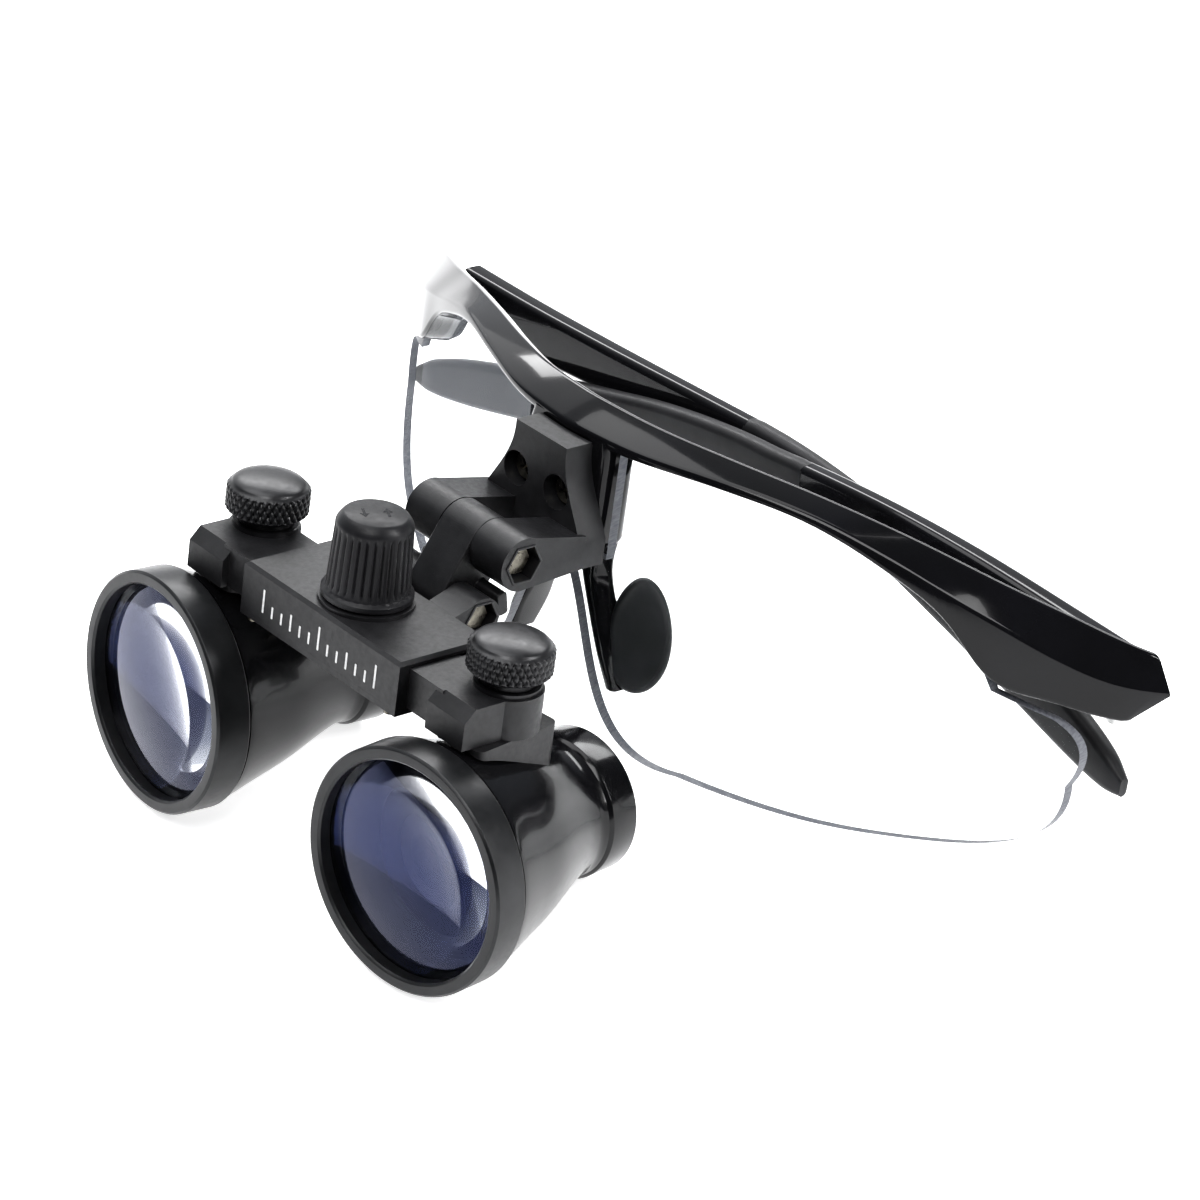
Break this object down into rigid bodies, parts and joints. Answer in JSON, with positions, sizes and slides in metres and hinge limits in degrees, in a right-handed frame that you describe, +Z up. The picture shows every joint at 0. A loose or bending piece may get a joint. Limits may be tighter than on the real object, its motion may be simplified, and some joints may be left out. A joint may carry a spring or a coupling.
{
  "type": "dental loupes",
  "caption": "Flip-up binocular dental loupes on a black sports spectacle frame, with adjustable barrel spacing, folding temples and clear side-cut lenses.",
  "frame": {"origin": "centre of the bounding box's footprint, on the surface that the loupes lie on", "axes": "+X to the wearer's left, +Y from the barrels towards the wearer's face, +Z up from the surface, with the temples folded and the barrels lying on it"},
  "size_m": [0.1438, 0.0921, 0.0476],
  "materials": {
    "gloss_frame": "piano-black, polished",
    "clear_lens": "clear polycarbonate",
    "pad_rubber": "soft matte",
    "sock_rubber": "soft matte",
    "steel": "plain",
    "matte_black": "fine matte",
    "zinc": "zinc plated",
    "knob_plastic": "satin",
    "brass": "machined",
    "black_metal": "black anodised, satin",
    "gloss_barrel": "gloss black",
    "coated_glass": "blue anti-reflection coating",
    "flint_glass": "clear"
  },
  "bodies": {
    "specs": {"frame_front": "gloss_frame", "lens_left": "clear_lens", "lens_right": "clear_lens", "nose_pad_left": "pad_rubber", "nose_pad_right": "pad_rubber", "temple_screw_left": "steel", "temple_screw_right": "steel", "mount_bracket": "matte_black", "bracket_screws": "zinc", "flip_screw": "zinc", "flip_nut": "zinc"},
    "link": {"flip_link": "matte_black", "flip_washers": "steel", "tilt_washers": "steel"},
    "beam": {"beam_housing": "matte_black", "beam_cover": "matte_black", "cover_screws": "zinc", "tilt_screw": "zinc", "tilt_nut": "zinc", "knob_washer": "steel"},
    "knob": {"pd_knob": "knob_plastic", "pinion": "brass", "knob_screw": "zinc"},
    "temple_left": {"temple_arm_left": "gloss_frame", "ear_sock_left": "sock_rubber"},
    "slide_left": {"slide_arm_left": "matte_black"},
    "thumb_left": {"thumbscrew_left": "black_metal", "clamp_washer_left": "black_metal"},
    "barrel_left": {"swivel_foot_left": "matte_black", "barrel_shell_left": "gloss_barrel", "front_bezel_left": "black_metal", "objective_crown_left": "coated_glass", "objective_flint_left": "flint_glass", "glare_stop_left": "black_metal", "eyepiece_lens_left": "flint_glass", "eyepiece_ring_left": "black_metal"},
    "temple_right": {"temple_arm_right": "gloss_frame", "ear_sock_right": "sock_rubber"},
    "slide_right": {"slide_arm_right": "matte_black"},
    "thumb_right": {"thumbscrew_right": "black_metal", "clamp_washer_right": "black_metal"},
    "barrel_right": {"swivel_foot_right": "matte_black", "barrel_shell_right": "gloss_barrel", "front_bezel_right": "black_metal", "objective_crown_right": "coated_glass", "objective_flint_right": "flint_glass", "glare_stop_right": "black_metal", "eyepiece_lens_right": "flint_glass", "eyepiece_ring_right": "black_metal"}
  },
  "joints": [
    {"name": "temple_left_unfold", "type": "hinge", "parent": "specs", "child": "temple_left", "pos_m": [0.066, 0.0398, 0.02318], "axis": [0, -0.2272, -0.9739], "range_deg": [0, 91]},
    {"name": "temple_right_unfold", "type": "hinge", "parent": "specs", "child": "temple_right", "pos_m": [-0.066, 0.0398, 0.02318], "axis": [0, 0.2272, 0.9739], "range_deg": [0, 89]},
    {"name": "flip_up", "type": "hinge", "parent": "specs", "child": "link", "pos_m": [0, -0.00782, 0.03651], "axis": [-1, 0, 0], "range_deg": [0, 80]},
    {"name": "beam_tilt", "type": "hinge", "parent": "link", "child": "beam", "pos_m": [0, -0.01418, 0.03084], "axis": [-1, 0, 0], "range_deg": [-15, 15]},
    {"name": "spread_left", "type": "slide", "parent": "beam", "child": "slide_left", "axis": [1, 0, 0], "range_m": [0, 0.01]},
    {"name": "spread_right", "type": "slide", "parent": "beam", "child": "slide_right", "axis": [-1, 0, 0], "range_m": [0, 0.01]},
    {"name": "knob_turn", "type": "hinge", "parent": "beam", "child": "knob", "pos_m": [0, -0.0252, 0.03515], "axis": [0, 0.2272, 0.9739], "range_deg": [0, 191]},
    {"name": "thumb_left_turn", "type": "hinge", "parent": "slide_left", "child": "thumb_left", "pos_m": [0.024, -0.0225, 0.03452], "axis": [0, 0.2272, 0.9739], "range_deg": [0, 360]},
    {"name": "converge_left", "type": "hinge", "parent": "slide_left", "child": "barrel_left", "pos_m": [0.024, -0.02386, 0.02868], "axis": [0, -0.2272, -0.9739], "range_deg": [-3, 17]},
    {"name": "thumb_right_turn", "type": "hinge", "parent": "slide_right", "child": "thumb_right", "pos_m": [-0.024, -0.0225, 0.03452], "axis": [0, 0.2272, 0.9739], "range_deg": [0, 360]},
    {"name": "converge_right", "type": "hinge", "parent": "slide_right", "child": "barrel_right", "pos_m": [-0.024, -0.02386, 0.02868], "axis": [0, 0.2272, 0.9739], "range_deg": [-5.5, 14]}
  ],
  "couplings": [
    {"joint": "spread_right", "follows": "spread_left", "ratio": 1},
    {"joint": "knob_turn", "follows": "spread_left", "rad_per_m": 333.33}
  ]
}
